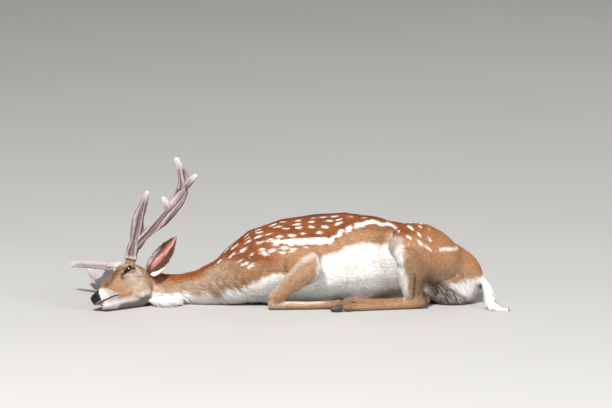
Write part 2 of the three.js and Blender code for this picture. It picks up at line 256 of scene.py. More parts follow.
ORBIT = (middle("eye_left") + middle("eye_right")) / 2
ACROSS = unit(middle("eye_left") - middle("eye_right"))
EYE_SIDE = np.linalg.norm(middle("eye_left") - middle("eye_right")) / 2
HEAD_POINTS = points_of(NODES["head"].data) - ORBIT
NOSE_TIP = HEAD_POINTS[(HEAD_POINTS @ ACROSS < 0.03).nonzero()[0]]
NOSE_TIP = NOSE_TIP[(NOSE_TIP @ np.array([-1.0, -1.0, 0.0])).argmax()]
TO_NOSE = unit(NOSE_TIP - ACROSS * (NOSE_TIP @ ACROSS))
CROWNWARD = np.cross(TO_NOSE, ACROSS)
FORWARD = TO_NOSE * math.cos(NOSE_DROP) + CROWNWARD * math.sin(NOSE_DROP)
UPWARD = np.cross(FORWARD, ACROSS)
HEAD_AXES = np.array([FORWARD, ACROSS, UPWARD])


def on_head(points):
    """Places in the head's frame, in millimetres: forward, to the animal's left, up."""
    return (points - ORBIT) @ HEAD_AXES.T / MM


def from_head(places):
    return np.asarray(places, float) * MM @ HEAD_AXES + ORBIT


# ---- which solid each place belongs to ----
def surface_of(names):
    corners, faces, owner = [], [], []
    for k, name in enumerate(names):
        mesh = NODES[name].data
        start = len(corners)
        corners += [v.co.copy() for v in mesh.vertices]
        faces += [[start + v for v in face.vertices] for face in mesh.polygons]
        owner += [k] * len(mesh.polygons)
    return BVHTree.FromPolygons(corners, faces), np.array(owner)


FLESH_TREE, FLESH_OWNER = surface_of(FLESH)


def owners(points):
    """The index in FLESH of the solid nearest to each point."""
    return np.array([FLESH_OWNER[FLESH_TREE.find_nearest(Vector(p))[2]] for p in points])


# ---- the skin ----
def thinned(mesh, keep, share):
    """Fewer triangles where keep is false."""
    body = new_object("thinned", mesh)
    group = body.vertex_groups.new(name="thin")
    group.add(np.flatnonzero(~keep).tolist(), 1.0, "REPLACE")
    fewer = body.modifiers.new("fewer", "DECIMATE")
    fewer.ratio = share
    fewer.vertex_group = "thin"
    fewer.vertex_group_factor = 10
    return finished(body)


def figure(kinds, column):
    """A figure of the BUILD table, blended between kinds of solid."""
    return kinds @ np.array([BUILD[kind][column] for kind in KINDS])


def relaxed(points, edges, weight, rounds):
    """Smooths a mesh more where the weight is larger."""
    for _ in range(rounds):
        points = points + weight[:, None] * (spread(points, edges, 1, 1.0) - points)
    return points


def made_skin():
    lids = [eye_ball("lid", side, 4, EYE_RADIUS + LID) for side in (1, -1)]
    mesh = largest_shell(fused(FLESH, SKIN_VOXEL, others=lids))
    points = points_of(mesh)
    edges = edges_of(mesh)
    owner = owners(points)
    smoothing = np.array([BUILD[name.split("_")[0]][SMOOTHING] for name in FLESH])
    weight = spread(smoothing[owner], edges, 12)
    points = relaxed(points, edges, weight, SMOOTH_ROUNDS)
    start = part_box("thigh_left")[0].x
    seat = ramp(points[:, 0], start + 0.07, start + 0.12) * ramp(points[:, 2], 0.03, 0.07)
    points = relaxed(points, edges, spread(seat * 0.95, edges, 6), SEAT_ROUNDS)
    set_points(mesh, points)
    kinds = kinds_at(owner, edges)
    depth = figure(kinds, DEPTH)
    rise = body_heights(points, kinds)
    points = points + normals_of(mesh) * (rise - depth - OVERLAP)[:, None]
    points[:, 2] = np.maximum(points[:, 2], SKIN_REST)
    set_points(mesh, points)
    seen = on_head(points)
    keep = (np.linalg.norm(seen - [30, 0, -40], axis=1) < 200) & (seen[:, 0] > -130)
    return with_face(finer(thinned(mesh, keep, BODY_SHARE)))


def finer(mesh):
    """Splits the triangles round the eyes, the nose and the mouth."""
    seen = on_head(points_of(mesh))
    f, l, u = seen.T
    near = (f > 92) & (np.abs(l) < 70) & (u > -150) & (np.linalg.norm(seen, axis=1) < 260)
    for side in (1, -1):
        along, up, out = eye_places(seen, side).T
        near |= (np.hypot(along + 4, up + 4) < EYE_REACH) & (out > 0) & (out < 40)
    bm = bmesh.new()
    bm.from_mesh(mesh)
    chosen = [edge for edge in bm.edges if near[edge.verts[0].index] and near[edge.verts[1].index]]
    bmesh.ops.subdivide_edges(bm, edges=chosen, cuts=1, use_grid_fill=True)
    bmesh.ops.triangulate(bm, faces=[face for face in bm.faces if len(face.verts) > 3])
    bm.to_mesh(mesh)
    bm.free()
    return mesh


def with_face(mesh):
    points = points_of(mesh)
    seen = on_head(points)
    face = (np.linalg.norm(seen - [50, 0, -40], axis=1) < 190) & (seen[:, 0] > -96)
    edges = edges_of(mesh)
    soft = relaxed(points, edges, face * 0.4, 3)
    seen = with_eyes(on_head(soft))
    points[face] = from_head(seen[face])
    set_points(mesh, points)
    normals = normals_of(mesh)
    points[face] += normals[face] * (face_heights(seen[face]) * MM)[:, None]
    points[:, 2] = np.maximum(points[:, 2], SKIN_REST)
    set_points(mesh, points)
    return mesh


def kinds_at(owner, edges):
    """How much of each kind of solid a place belongs to."""
    kind = np.array([KINDS.index(name.split("_")[0]) for name in FLESH])[owner]
    return spread(np.eye(len(KINDS))[kind], edges, KIND_ROUNDS)


def share_of(kinds, *names):
    """How much of the named kinds of solid each place belongs to."""
    return sum(kinds[:, KINDS.index(name)] for name in names)


def eye_ball(name, side, rounds, radius):
    """A ball round the middle of an eye."""
    ball = bmesh.new()
    place = Matrix.Translation(from_head([0, side * EYE_SIDE / MM, 0]))
    bmesh.ops.create_icosphere(ball, subdivisions=rounds, radius=radius, matrix=place)
    return as_mesh(name, ball)


# ---- the face, modelled on the skin ----
def line_reach(across, upward, *stops):
    """The distance from each place to a line of stops, and how far along it that is, from 0 to 1."""
    best = np.full(len(across), 1e9)
    share = np.zeros(len(across))
    for k, ((x0, y0), (x1, y1)) in enumerate(zip(stops, stops[1:])):
        dx, dy = x1 - x0, y1 - y0
        t = np.clip(((across - x0) * dx + (upward - y0) * dy) / (dx * dx + dy * dy), 0, 1)
        gap = np.hypot(across - x0 - t * dx, upward - y0 - t * dy)
        nearer = gap < best
        best[nearer] = gap[nearer]
        share[nearer] = ((k + t) / (len(stops) - 1))[nearer]
    return best, share


def eye_places(seen, side):
    """Places round an eye: along the lids to the back, up, and outward, in millimetres."""
    outward = unit(np.array([0.25, side * 0.95, 0.12]))
    along = unit(np.array([-1.0, 0, 0.17]) + outward * 0.25)
    along = unit(along - outward * (along @ outward))
    upright = np.cross(outward, along) * side
    return (seen - [0, side * EYE_SIDE / MM, 0]) @ np.array([along, upright, outward]).T


def lid_reach(along, up):
    """1 on the rims of the lids, less inside the opening, more outside."""
    half = np.where(up > 0, LID_UP, LID_DOWN) * (1 + 0.25 * np.clip(along / LID_LENGTH, -1, 1) * (up > 0))
    return np.sqrt(np.abs(along / LID_LENGTH) ** 2.2 + np.abs(up / half) ** 1.7)


def with_eyes(seen):
    for side in (1, -1):
        along, up, out = eye_places(seen, side).T
        radius = np.sqrt(along ** 2 + up ** 2 + out ** 2)
        reach = lid_reach(along, up)
        ball = EYE_RADIUS / MM
        goal = np.interp(reach, [0.86, 0.98, 1.04, 1.2, 1.5, 1.75, 2.2],
                         [ball - 3.5, ball - 0.6, ball + 1.7, ball + 2.6, ball + 2.2, ball + 1.8, ball + 3])
        near = (out > 0) & (radius < EYE_REACH)
        share = fall(reach, 1.5, 2.5) * near
        place = np.array([0, side * EYE_SIDE / MM, 0])
        moved = place + (seen - place) * (goal / radius)[:, None]
        seen = seen + share[:, None] * (moved - seen)
    return seen


def mouth_reach(seen):
    """The distance to the line of the mouth, and 1 where it is open."""
    f, _, u = seen.T
    return line_reach(f, u, *MOUTH)[0], ramp(f, MOUTH[-1][0] - 6, MOUTH[-1][0] + 2)


def nostril_reach(seen):
    f, l, u = seen.T
    side = np.abs(l) - NOSTRIL[1]
    high = u - NOSTRIL[2]
    return np.hypot((side * 0.8 + high * 0.6) / 7.5, (high * 0.8 - side * 0.6) / 3.6), f > NOSTRIL[0] - 14


def tear_reach(seen):
    return line_reach(seen[:, 0], seen[:, 2], *TEAR)


def face_heights(seen):
    """How far the skin of the face stands out from its even shape, in millimetres."""
    f, l, u = seen.T
    side = np.abs(l)

    def bulge(x, y, z, long, high, amount, wide=22):
        return amount * hump((f, x, long), (side, y, wide), (u, z, high))

    rise = bulge(4, 52, 21, 20, 7, 3.2) + bulge(-12, 56, -24, 26, 8, 3.0) + bulge(38, 45, -36, 26, 8, 2.6)
    rise += (bulge(-44, 52, -84, 26, 24, 4.0) - bulge(26, 44, -70, 24, 14, 3.2)
             - bulge(84, 30, -44, 26, 12, 2.6))
    rise += bulge(-46, 46, 8, 16, 14, -2.6) + bulge(96, 12, -12, 34, 8, 1.6, 12)
    rise += bulge(182, 17, -74, 12, 11, 2.6, 9) + bulge(168, 22, -94, 22, 7, 2.6, 12)
    rise += bulge(168, 8, -122, 18, 10, 1.5, 16) - bulge(140, 20, -66, 18, 10, 1.6, 12)
    gap, open_mouth = mouth_reach(seen)
    rise -= 3.4 * hump((gap, 0, 2.3)) * open_mouth
    rise += 1.3 * hump((gap, 5.5, 2.6)) * open_mouth * (f < 186)
    tear, run = tear_reach(seen)
    near_eye = side > 26
    rise -= (4.2 * (1 - 0.45 * run)) * hump((tear, 0, 3.0)) * near_eye
    rise += 1.4 * hump((tear, 7, 3.0)) * near_eye * (f > 12)
    hole, front = nostril_reach(seen)
    rise -= 7.0 * fall(hole, 0.45, 1.15) * front
    rise += 1.5 * hump((hole, 1.5, 0.35)) * front
    rise -= 1.5 * hump((l, 0, 2.0)) * ramp(f, 172, 182) * (u < -74) * (u > -108)
    for which in (1, -1):
        along, up, out = eye_places(seen, which).T
        reach = lid_reach(along, up)
        fold = hump((reach, 2.0, 0.16)) * (up > 0) + 0.7 * hump((reach, 2.25, 0.2)) * (up < 0)
        rise -= 1.6 * fold * (out > 0) * (np.hypot(along, up) < EYE_REACH)
    wrinkle = np.sin(u * 0.55 + f * 0.12) * hump((f, -20, 26), (u, -44, 16)) * (side > 36)
    return rise + 0.5 * wrinkle


def body_heights(points, kinds):
    """Soft forms under the hide: ribs, the hollow flank, shoulder blade, neck folds, creases at the legs."""
    x, _, z = points.T
    ribs = np.sin((x + 0.35 * (z - 0.2)) * math.tau / 0.046) * hump((x, 0.2, 0.1), (z, 0.24, 0.05))
    folds = np.sin((x + 0.9 * z) * math.tau / 0.034) * hump((x, -0.25, 0.09), (z, 0.08, 0.05))
    rise = 0.0011 * ribs * share_of(kinds, "chest", "belly")
    rise -= 0.011 * hump((x, 0.375, 0.035), (z, 0.26, 0.05)) * share_of(kinds, "belly", "rump")
    rise += 0.004 * hump((x, -0.03, 0.05), (z, 0.225, 0.03)) * share_of(kinds, "shoulder", "chest")
    rise += 0.0018 * folds * share_of(kinds, "neck")
    rise -= 0.003 * trunk_fold(kinds, x, z)
    wide = share_of(kinds, "neck", "chest", "belly", "rump", "thigh", "shoulder")
    close = share_of(kinds, "forearm", "shank", "shoulder", "thigh", "neck")
    rise += 0.0009 * ripple(points, 0.2, 11) * wide
    rise += 0.0006 * ripple(points, 0.045, 12) * close
    return rise


# ---- shader tools ----
class Value:
    """A socket of a finish that takes part in sums as a number does."""

    def __init__(self, finish, socket):
        self.finish = finish
        self.socket = socket

    def maths(self, operation, first, second):
        return self.finish.node("ShaderNodeMath", {"operation": operation}, {0: first, 1: second})

    def __add__(self, other):
        return self.maths("ADD", self, other)

    __radd__ = __add__

    def __sub__(self, other):
        return self.maths("SUBTRACT", self, other)

    def __rsub__(self, other):
        return self.maths("SUBTRACT", other, self)

    def __mul__(self, other):
        return self.maths("MULTIPLY", self, other)

    __rmul__ = __mul__


class Finish:
    """One material, with constants on the shader's own sockets."""

    def __init__(self, name, **constants):
        self.material = bpy.data.materials.new(name)
        self.material.use_nodes = True
        self.tree = self.material.node_tree
        self.shader = self.tree.nodes["Principled BSDF"]
        for socket, value in constants.items():
            self.shader.inputs[socket.replace("_", " ")].default_value = value

    def node(self, kind, settings=None, sockets=None, out=0):
        made = self.tree.nodes.new(kind)
        for key, value in (settings or {}).items():
            setattr(made, key, value)
        for key, value in (sockets or {}).items():
            self.feed(made.inputs[key], value)
        return Value(self, made.outputs[out])

    def feed(self, socket, value):
        if isinstance(value, Value):
            self.tree.links.new(value.socket, socket)
        else:
            socket.default_value = value

    def place(self, scaled=(1, 1, 1)):
        """Object coordinates, shrunk by a scale along each axis."""
        here = self.node("ShaderNodeTexCoord", out="Object")
        return self.node("ShaderNodeMapping", {"vector_type": "TEXTURE"}, {"Vector": here, "Scale": scaled})

    def noise(self, where, scale, detail=3, rough=0.5):
        return self.node("ShaderNodeTexNoise", None,
                         {"Vector": where, "Scale": scale, "Detail": detail, "Roughness": rough})

    def mix(self, share, first, second, blend="MIX"):
        return self.node("ShaderNodeMix", {"data_type": "RGBA", "blend_type": blend},
                         {0: share, 6: first, 7: second}, 2)

    def steps(self, value, low, high, start=0.0, end=1.0):
        """Rises from start to end as the value goes from low to high."""
        return self.node("ShaderNodeMapRange", {"clamp": True},
                         {0: value, 1: low, 2: high, 3: start, 4: end})

    def attribute(self, name, out="Color"):
        return self.node("ShaderNodeAttribute", {"attribute_name": name}, out=out)

    def bump(self, height, strength, distance):
        normal = self.node("ShaderNodeBump", None,
                           {"Strength": strength, "Distance": distance, "Height": height})
        self.feed(self.shader.inputs["Normal"], normal)

    def colour(self, value):
        self.feed(self.shader.inputs["Base Color"], value)

    def roughness(self, value):
        self.feed(self.shader.inputs["Roughness"], value)


def smooth_faces(mesh):
    mesh.polygons.foreach_set("use_smooth", np.ones(len(mesh.polygons), bool))
    mesh.update()


def piece_of(name, mesh, finish, replaced):
    """Names, finishes and places one finished piece."""
    mesh.materials.clear()
    mesh.materials.append(finish.material)
    smooth_faces(mesh)
    piece = new_object(name, mesh)
    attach(piece, "root")
    if replaced:
        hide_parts(*replaced)
    return piece


# ---- where a place is on the body ----
def spine_line(points):
    """The top of the back at even steps from the neck to the rump."""
    steps = np.arange(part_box("neck")[0].x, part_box("rump")[1].x, SPINE_STEP)
    tops = []
    for step in steps:
        near = points[np.abs(points[:, 0] - step) < SPINE_STEP]
        tops.append(near[near[:, 2].argmax(), 1:])
    tops = np.array(tops)
    for _ in range(SPINE_ROUNDS):
        tops[1:-1] = (tops[:-2] + 2 * tops[1:-1] + tops[2:]) / 4
    return steps, tops


def meeting(first, second):
    """The middle of the place where two solids touch."""
    points = points_of(NODES[first].data)
    other = points_of(NODES[second].data)
    gap = np.linalg.norm(points[:, None] - other[None], axis=2).min(axis=1)
    return points[gap < gap.min() + MEETING_REACH].mean(axis=0)


def far_end(name, near):
    points = points_of(NODES[name].data)
    return points[np.linalg.norm(points - near, axis=1).argmax()]


def lie_of_nodes():
    """For each solid of flesh, where its hair starts from and the way it points."""
    back = np.array([1.0, 0, 0])
    lie = {"neck": back + [0, 0, -0.1], "chest": back + [0, 0, -0.2], "belly": back + [0, 0, -0.25],
           "rump": back + [0, 0, -0.7], "head": -FORWARD - 0.15 * UPWARD, "jaw": -FORWARD - 0.35 * UPWARD}
    start = {name: middle(name) for name in FLESH}
    start["tail"] = meeting("tail", "rump")
    lie["tail"] = far_end("tail", start["tail"]) - start["tail"]
    for side in ("left", "right"):
        ear = "ear_" + side
        start[ear] = meeting(ear, "head")
        lie[ear] = far_end(ear, start[ear]) - start[ear]
        for end, limb in (("fore", ("chest", "shoulder", "forearm")), ("hind", ("rump", "thigh", "shank"))):
            chain = [limb[0], limb[1] + "_" + side, limb[2] + "_" + side, f"cannon_{end}_{side}",
                     f"foot_{end}_{side}", f"hoof_{end}_{side}_1"]
            for before, here, after in zip(chain, chain[1:], chain[2:]):
                start[here] = meeting(here, before)
                lie[here] = meeting(here, after) - start[here]
        lie["shoulder_" + side] = unit(lie["shoulder_" + side]) + 0.8 * back
        lie["thigh_" + side] = np.array([0.35, 0, -1.0])
    return (np.array([start[name] for name in FLESH]), unit(np.array([lie[name] for name in FLESH], float)))


class Body:
    """What the coat needs to know at many places of the skin."""

    def __init__(self, points, normals, kinds, flow, owner):
        self.points, self.normals, self.kinds, self.flow, self.owner = points, normals, kinds, flow, owner
        steps, tops = SPINE
        self.along = points[:, 0]
        self.height = points[:, 2]
        across = points[:, 1] - np.interp(self.along, steps, tops[:, 0])
        below = points[:, 2] - np.interp(self.along, steps, tops[:, 1])
        self.side = np.where(across < 0, 1, -1)
        self.down = np.hypot(across, below)
        self.head = on_head(points)

    def share(self, *kinds):
        return share_of(self.kinds, *kinds)

    def uneven(self, column, low, high):
        """A figure of the BUILD table at each place, times a random share from low to high."""
        return figure(self.kinds, column) * RANDOM.uniform(low, high, len(self.points))


def read_body(mesh):
    points = points_of(mesh)
    edges = edges_of(mesh)
    normals = normals_of(mesh)
    owner = owners(points)
    kinds = kinds_at(owner, edges)
    flow = LIE[1][owner]
    for _ in range(FLOW_ROUNDS):
        flow = flow - normals * (flow * normals).sum(axis=1)[:, None]
        flow = spread(unit(flow), edges, 3)
    flow = unit(flow - normals * (flow * normals).sum(axis=1)[:, None])
    return Body(points, normals, kinds, flow, owner)


# ---- markings ----
RUST = np.array([0.29, 0.083, 0.02])
CHESTNUT = np.array([0.13, 0.038, 0.012])
TAN = np.array([0.435, 0.218, 0.1])
SAND = np.array([0.52, 0.345, 0.21])
GREY = np.array([0.31, 0.218, 0.158])
PALE = np.array([0.5, 0.39, 0.3])
CREAM = np.array([0.84, 0.81, 0.775])
BROWN = np.array([0.27, 0.145, 0.075])
UMBER = np.array([0.055, 0.03, 0.018])
PITCH = np.array([0.012, 0.01, 0.011])
# Velvet: plain, the painted highlight of the ridges, the painted shade of the grooves, and the pale tips.
VELVET_TONES = np.array([[0.15, 0.105, 0.1], [0.37, 0.32, 0.335], [0.055, 0.025, 0.019], [0.58, 0.55, 0.57]])


def blend(colour, share, other):
    return colour * (1 - share[:, None]) + np.asarray(other) * share[:, None]


def painted(colour, *layers):
    """Blends shares of other colours over a colour, one after another."""
    for share, other in layers:
        colour = blend(colour, share, other)
    return colour


def ripple(points, length, seed):
    """A smooth uneven number between -1 and 1, for ragged borders."""
    turns = np.random.default_rng(seed)
    total = np.zeros(len(points))
    for octave in range(3):
        for _ in range(4):
            way = unit(turns.normal(size=3)) * math.tau / length * 2 ** octave
            total += np.sin(points @ way + turns.uniform(0, math.tau)) / 2 ** octave / 4
    return total


def made_spots():
    """Oval spots in rows along each side: along, down or height, half length, half width, tilt."""
    chance = np.random.default_rng(7)
    flank, haunch = [], []
    for side in (1, -1):
        for share, start, end in FLANK_ROWS:
            here = start + chance.uniform(0, 0.02)
            while here < end:
                size = chance.uniform(0.75, 1.25)
                flank.append((side, here, share + chance.normal(0, 0.004), 0.0125 * size,
                              0.0047 * chance.uniform(0.7, 1.4) * size, chance.normal(0.12, 0.14)))
                here += chance.uniform(0.034, 0.076)
        for row in range(3):
            here = 0.415 + 0.012 * chance.uniform(0, 1)
            while here < 0.575:
                height = 0.375 - 0.024 * row - 0.52 * (here - 0.40) + chance.normal(0, 0.003)
                haunch.append((side, here, height, 0.0122 * chance.uniform(0.7, 1.3),
                               0.0048 * chance.uniform(0.8, 1.2), -0.72 + chance.normal(0, 0.12)))
                here += chance.uniform(0.03, 0.044)
    return flank, haunch


def ovals(along, down, side, spots):
    share = np.zeros(len(along))
    for which, here, there, long, wide, tilt in spots:
        near = np.flatnonzero((np.abs(along - here) < 0.03) & (side == which))
        x = along[near] - here
        y = down[near] - there
        turned = math.cos(tilt) * x + math.sin(tilt) * y
        raised = math.cos(tilt) * y - math.sin(tilt) * x
        reach = np.sqrt((turned / long) ** 2 + (raised / wide) ** 2)
        share[near] = np.maximum(share[near], fall(reach, 0.8, 1.25))
    return share


def line_height(along):
    """How high the white line along the flank runs."""
    return np.interp(along, [-0.08, 0.15, 0.21, 0.29, 0.34, 0.41], [0.256, 0.261, 0.3, 0.321, 0.319, 0.3])


def white_below(along):
    """Below this height the throat, chest and belly are white."""
    return np.interp(along, *np.array(WHITE_EDGE).T)


def coat_colour(body):
    """The colour of the hide and coat at every place, with painted shade in the creases at the legs, in the
    hollow between thigh and rump and under the buttock.
    """
    x, z = body.along, body.height
    ragged, fine, fleck = (ripple(body.points, *rule) for rule in ((0.07, 3), (0.02, 5), (0.009, 6)))
    limb = body.share("shoulder", "thigh", "forearm", "shank", "cannon", "foot", *HEAD_KINDS)
    rear = body.share("rump", "thigh")
    colour = blend(TAN, 0.25 + 0.25 * fleck.clip(-1, 1), GREY)
    colour = back_colour(body, colour, ragged, fine, fleck)
    rougher = fall(x, -0.25, -0.1)
    edge = white_below(x) + 0.008 * (1 + rougher) * ragged + 0.004 * (1 + 1.5 * rougher) * fine
    white = fall(z - edge, -0.012, 0.01) * fall(limb, 0.3, 0.7)
    # under the buttock: dark streaked hair, darkened further as painted shade of the hollow behind the hock
    buttock_hair_and_shade = rear * ramp(x, 0.525, 0.545) * ramp(0.113 - 0.684 * (x - 0.592) - z + 0.008 * ragged, 0, 0.02)
    streak = ramp(np.sin(x * 330 + 4 * ragged + z * 60) + 0.8 * fine + 0.8 * ramp(x, 0.56, 0.66), 0.2, 1.0)
    colour = painted(colour, (white, CREAM), (buttock_hair_and_shade * (0.97 - 0.5 * streak), UMBER * 1.6),
                     # painted shade: darkened creases where the folded legs lie against the trunk
                     (trunk_fold(body.kinds, x, z) * 0.6, UMBER * 2.5),
                     # painted shade: a dark hollow between the thigh and the rump
                     (hump((x, 0.548, 0.016), (z, 0.12, 0.04)) * rear * 0.75, UMBER * 1.5))
    colour = leg_colour(body, spotted(body, colour, white, limb, fine), fine)
    colour = blend(colour, body.share("tail"), CREAM * 1.12)
    streaks = ripple(body.points * [0.45, 1, 1], 0.0075, 14).clip(-1.6, 1.6)
    strength = 0.07 + 0.17 * fall(colour[:, 2], 0.2, 0.5)
    strength = strength * (1 - ramp(body.share(*HEAD_KINDS), 0, 1) * 0.5)
    colour = colour * (1 + (strength * streaks)[:, None]) * (1 + (0.6 * strength * fleck)[:, None])
    return face_colour(body, colour, ragged, fine)


def trunk_fold(kinds, x, z):
    """1 in the creases where the folded legs lie against the trunk."""
    limb = share_of(kinds, "shoulder", "forearm", "thigh", "shank")
    trunk = share_of(kinds, "chest", "belly", "rump")
    low = np.where(x < 0.25, fall(z, 0.17, 0.22), fall(z, 0.26, 0.29) * fall(x, 0.44, 0.46))
    rear = ramp(x, 0.5, 0.53) * fall(z, 0.12, 0.17)
    return (4 * limb * trunk).clip(0, 1) ** 2 * np.maximum(low, rear)


def back_colour(body, colour, ragged, fine, fleck):
    """The rust of the back, the grey neck, the dark line of the spine and the rough hair at the shoulder."""
    x, z, down = body.along, body.height, body.down
    over = np.max([
        ramp(z - line_height(x) + 0.006 * ragged, -0.03, 0.012),
        0.8 * ramp(-down, -0.085, -0.05) * ramp(x, 0.42, 0.5) * (1 - 0.65 * ramp(x, 0.58, 0.68)),
        ramp(z + 0.012 * ragged, 0.16, 0.2) * fall(x, -0.12, -0.02),
        fall(down + 0.012 * ragged, 0.025, 0.07) * fall(x, -0.2, -0.1)], axis=0)
    neck_side = fall(x + 0.02 * ragged, -0.3, -0.18) * (1 - over)
    clump = ripple(body.points, 0.035, 12).clip(-1, 1)
    mixed = painted(PALE, (0.5 + 0.5 * fine.clip(-1, 1), GREY),
                    (0.35 * ramp(clump + 0.6 * fleck, 0.1, 0.8), UMBER * 2))
    shoulder = body.share("shoulder", "chest", "neck") * hump((x, -0.14, 0.1), (z, 0.15, 0.04))
    stripe = fall(down + 0.002 * fine, 0.006, 0.014)
    rough = (hump((x, -0.2, 0.035), (z, 0.172, 0.026)) + hump((x, -0.19, 0.035), (z, 0.106, 0.015))
             + 0.6 * hump((x, -0.26, 0.03), (z, 0.085, 0.015)))
    rough *= body.share("neck", "chest", "shoulder") * (0.5 + 0.7 * ripple(body.points, 0.03, 8)).clip(0, 1)
    return painted(colour, (neck_side * 0.75, mixed),
                   (shoulder * (0.55 + 0.4 * clump), blend(BROWN, over, RUST)),
                   (over, RUST), (over * (0.3 + 0.34 * ragged + 0.3 * fleck).clip(0, 0.9), CHESTNUT),
                   (stripe * ramp(x, -0.35, 0.05) * 0.9, UMBER), (rough * 0.8, UMBER * 2.2))


def spotted(body, colour, white, limb, fine):
    """The white line along the flank, the spots over it, and those on the haunch."""
    x, z, down = body.along, body.height, body.down
    line = line_height(x)
    thick = np.interp(x, [-0.1, -0.075, -0.02, 0.1, 0.15, 0.17, 0.25, 0.3, 0.41],
                      [0.0015, 0.0045, 0.008, 0.0125, 0.0105, 0.0115, 0.009, 0.0055, 0.0035])
    beads = 1 - 0.9 * ramp(np.sin(x * 190 + 0.6 * fine), 0.1, 0.9) * ramp(x, 0.13, 0.16) * fall(x, 0.24, 0.27)
    beads *= 1 - 0.6 * ramp(np.sin(x * 130 + fine), 0.3, 0.9) * fall(x, -0.06, -0.02)
    off = np.abs(z - line + 0.0018 * fine + 0.0025 * np.sin(x * 95) * ramp(x, 0.13, 0.16))
    bar = fall(off, thick * beads * 0.75, thick * beads * 1.25) * (x > -0.1) * (x < 0.41)
    bar = bar * (1 - ramp(limb, 0.75, 0.95) * (z < 0.24))
    reach = np.interp(x, [-0.35, -0.17, -0.06, 0.15, 0.21, 0.29, 0.41],
                      [0.1, 0.12, 0.125, 0.167, 0.13, 0.075, 0.06])
    spots = ovals(x + 0.0015 * fine, down / reach * 0.14 + 0.001 * fine, body.side, FLANK_SPOTS) * (x < 0.38)
    spots = spots * (1 - body.share("forearm", *HEAD_KINDS)) * (1 - ramp(limb, 0.6, 0.9) * (z < 0.16))
    haunch = body.share("thigh", "rump") * (down > 0.02)
    rear = ovals(x + 0.0012 * fine, z, body.side, HAUNCH_SPOTS)
    gaps = ramp(np.sin(body.points[:, 1] * 140 + x * 90), -0.3, 0.1) * ramp(body.normals[:, 2], 0.6, 0.75)
    rear = rear * (1 - gaps)
    off = np.abs(z - 0.239 + 0.1 * (x - 0.6) + 0.0015 * fine)
    beads = 1 - 0.4 * ramp(np.sin(x * 210 + fine), 0.5, 1)
    rear_bar = fall(off, 0.0045 * beads, 0.0075 * beads) * ramp(x, 0.578, 0.585) * fall(x, 0.665, 0.68)
    rear = np.maximum(rear, rear_bar * (down > 0.04)) * haunch
    return painted(colour, (bar, CREAM), (spots * (1 - white), CREAM), (rear, CREAM))


def leg_colour(body, colour, fine):
    """The haunch and legs, the pale stripe down the front of the thigh, the white behind the forearm and a
    painted shade line in the crease before the hind tendon.
    """
    x, z = body.along, body.height
    thigh, shank, cannon, foot, forearm = map(body.share, ("thigh", "shank", "cannon", "foot", "forearm"))
    back, _, top = body.normals.T
    left = body.side > 0
    uneven = fine.clip(-1, 1)
    spotless = fall(colour[:, 2], 0.3, 0.5)
    tawny = blend(TAN * 1.15, ramp(z + 0.01 * fine, 0.2, 0.27), (0.42, 0.18, 0.065))
    bright = (thigh + body.share("rump")) * ramp(x, 0.43, 0.54) * ramp(z, 0.13, 0.17)
    warm = (shank + cannon + foot) * ramp(x, 0.1, 0.16) * ramp(top + 0.3 * fine, -0.5, 0.8)
    hock = np.exp(-(((x - 0.512) / 0.02) ** 4 + ((z - 0.08) / 0.05) ** 4)) * (shank + cannon) * left
    # painted shade: a thin dark line in the crease between the shank and the tendon above the hock
    tendon_crease_shade = hump((x - 0.05 * (z - 0.1), 0.487, 0.005)) * ramp(z, 0.03, 0.05) * fall(z, 0.13, 0.17)
    pale = (cannon + forearm) * ramp(-x, -0.16, -0.1) * ramp(top, 0.1, 0.8)
    stripe = line_reach(x, z, (0.406, 0.31), (0.423, 0.22), (0.44, 0.14), (0.443, 0.06))[0] - 0.0025 * fine
    stripe = fall(stripe - 0.01 * ramp(z, 0.19, 0.25) - 0.0035 * fine, 0.006, 0.03)
    stripe = stripe * left * (1 - 0.55 * ramp(z, 0.235, 0.27)) * ramp(-z, -0.305, -0.285) * (z > 0.04)
    stripe = np.maximum(stripe, ramp(-back, 0.45, 0.8) * ~left * (x < 0.46) * (z > 0.05))
    behind = ramp(back + 0.12 * fine, 0.3, 0.6) * body.share("forearm", "shoulder")
    behind = behind * ramp(z, 0.045, 0.07) * fall(z, 0.19, 0.225)
    knee = (forearm + cannon) * fall(z, 0.03, 0.055) * (x < -0.02)
    return painted(colour,
                   (bright * spotless * 0.7, tawny),
                   (thigh * spotless * ramp(-z, -0.2, -0.12) * 0.3, PALE * 1.05),
                   (thigh * fall(z, 0.2, 0.3) * 0.25 * (0.5 + 0.5 * uneven), GREY),
                   ((forearm + shank + cannon + foot) * 0.4, SAND * 0.9),
                   (warm * 0.8, (0.29, 0.145, 0.072)),
                   (hock * 0.9 * (0.65 + 0.35 * uneven), GREY * 0.4),
                   # the painted shade of the tendon's crease
                   (tendon_crease_shade * (shank + thigh) * left * 0.85, UMBER),
                   (pale * 0.5, CREAM * 0.92),
                   (foot * 0.5, GREY * 0.55),
                   (stripe * ramp(thigh + shank, 0.3, 0.7), CREAM),
                   (behind, CREAM * 0.96),
                   (knee * 0.35 * (0.6 + 0.4 * uneven), CREAM * 0.9))


